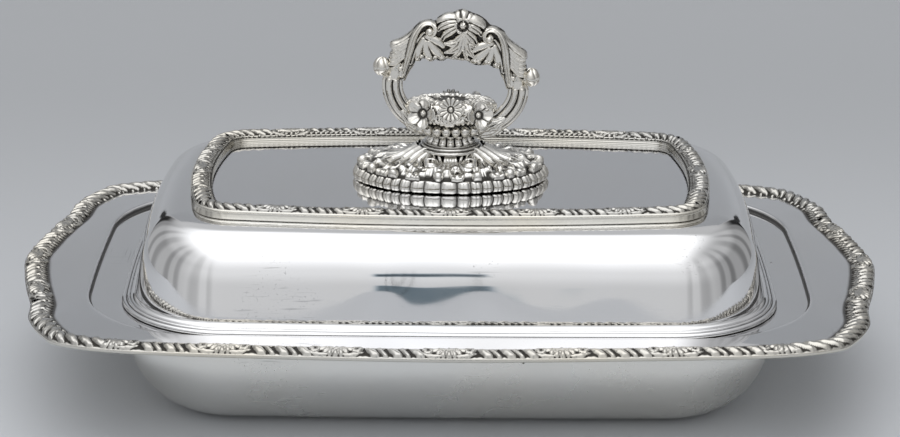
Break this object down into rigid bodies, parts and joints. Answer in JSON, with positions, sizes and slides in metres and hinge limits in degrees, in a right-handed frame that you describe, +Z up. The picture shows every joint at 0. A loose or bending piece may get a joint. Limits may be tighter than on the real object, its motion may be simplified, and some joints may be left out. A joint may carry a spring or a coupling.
{
  "type": "divided vegetable dish",
  "caption": "Long covered serving dish with a lobed flange and a well split by a divider, under a domed lid whose cast loop handle turns a quarter to free it.",
  "frame": {"origin": "middle of the flat underside of the dish", "axes": "+X along the dish to the right as seen from the front, +Y to the back, +Z up through the handle"},
  "size_m": [0.3594, 0.2344, 0.1543],
  "materials": {
    "plate": "polished silver plate on nickel silver sheet, a copper alloy as heavy as brass",
    "border": "silver plate with dark tarnish in the hollows of the ribs and leaves",
    "casting": "cast and silver plated, worn bright on top and dark in the hollows",
    "fitting": "dull plated copper alloy, out of sight under the lid"
  },
  "bodies": {
    "dish": {"dish_body": "plate", "rim_band": "border", "rim_border_right": "border", "rim_border_back": "border", "rim_border_left": "border", "rim_border_front": "border", "divider_plate": "plate", "divider_bead": "plate"},
    "lid": {"lid_shell": "plate", "lid_lip_wire": "border", "lid_bezel": "plate", "lid_moulding": "border", "lid_border_right": "border", "lid_border_back": "border", "lid_border_left": "border", "lid_border_front": "border", "key_plate": "fitting", "stop_pin_locked": "fitting", "stop_pin_open": "fitting"},
    "handle": {"key_bolt": "fitting", "handle_foot": "casting", "handle_collar": "casting", "handle_neck": "casting", "handle_basket": "casting", "loop_arm_left": "casting", "loop_arm_right": "casting", "loop_crest": "casting", "loop_knuckle_left": "casting", "loop_knuckle_right": "casting", "crest_rosette_front": "casting", "crest_rosette_back": "casting", "basket_rosette_front_left": "casting", "basket_rosette_front_middle": "casting", "basket_rosette_front_right": "casting", "basket_rosette_back_left": "casting", "basket_rosette_back_middle": "casting", "basket_rosette_back_right": "casting"}
  },
  "joints": [
    {"name": "lid_lift", "type": "slide", "parent": "dish", "child": "lid", "axis": [0, 0, 1], "range_m": [0, 0.12]},
    {"name": "handle_turn", "type": "hinge", "parent": "lid", "child": "handle", "pos_m": [0, 0, 0.084], "axis": [0, 0, 1], "range_deg": [0, 90]}
  ]
}
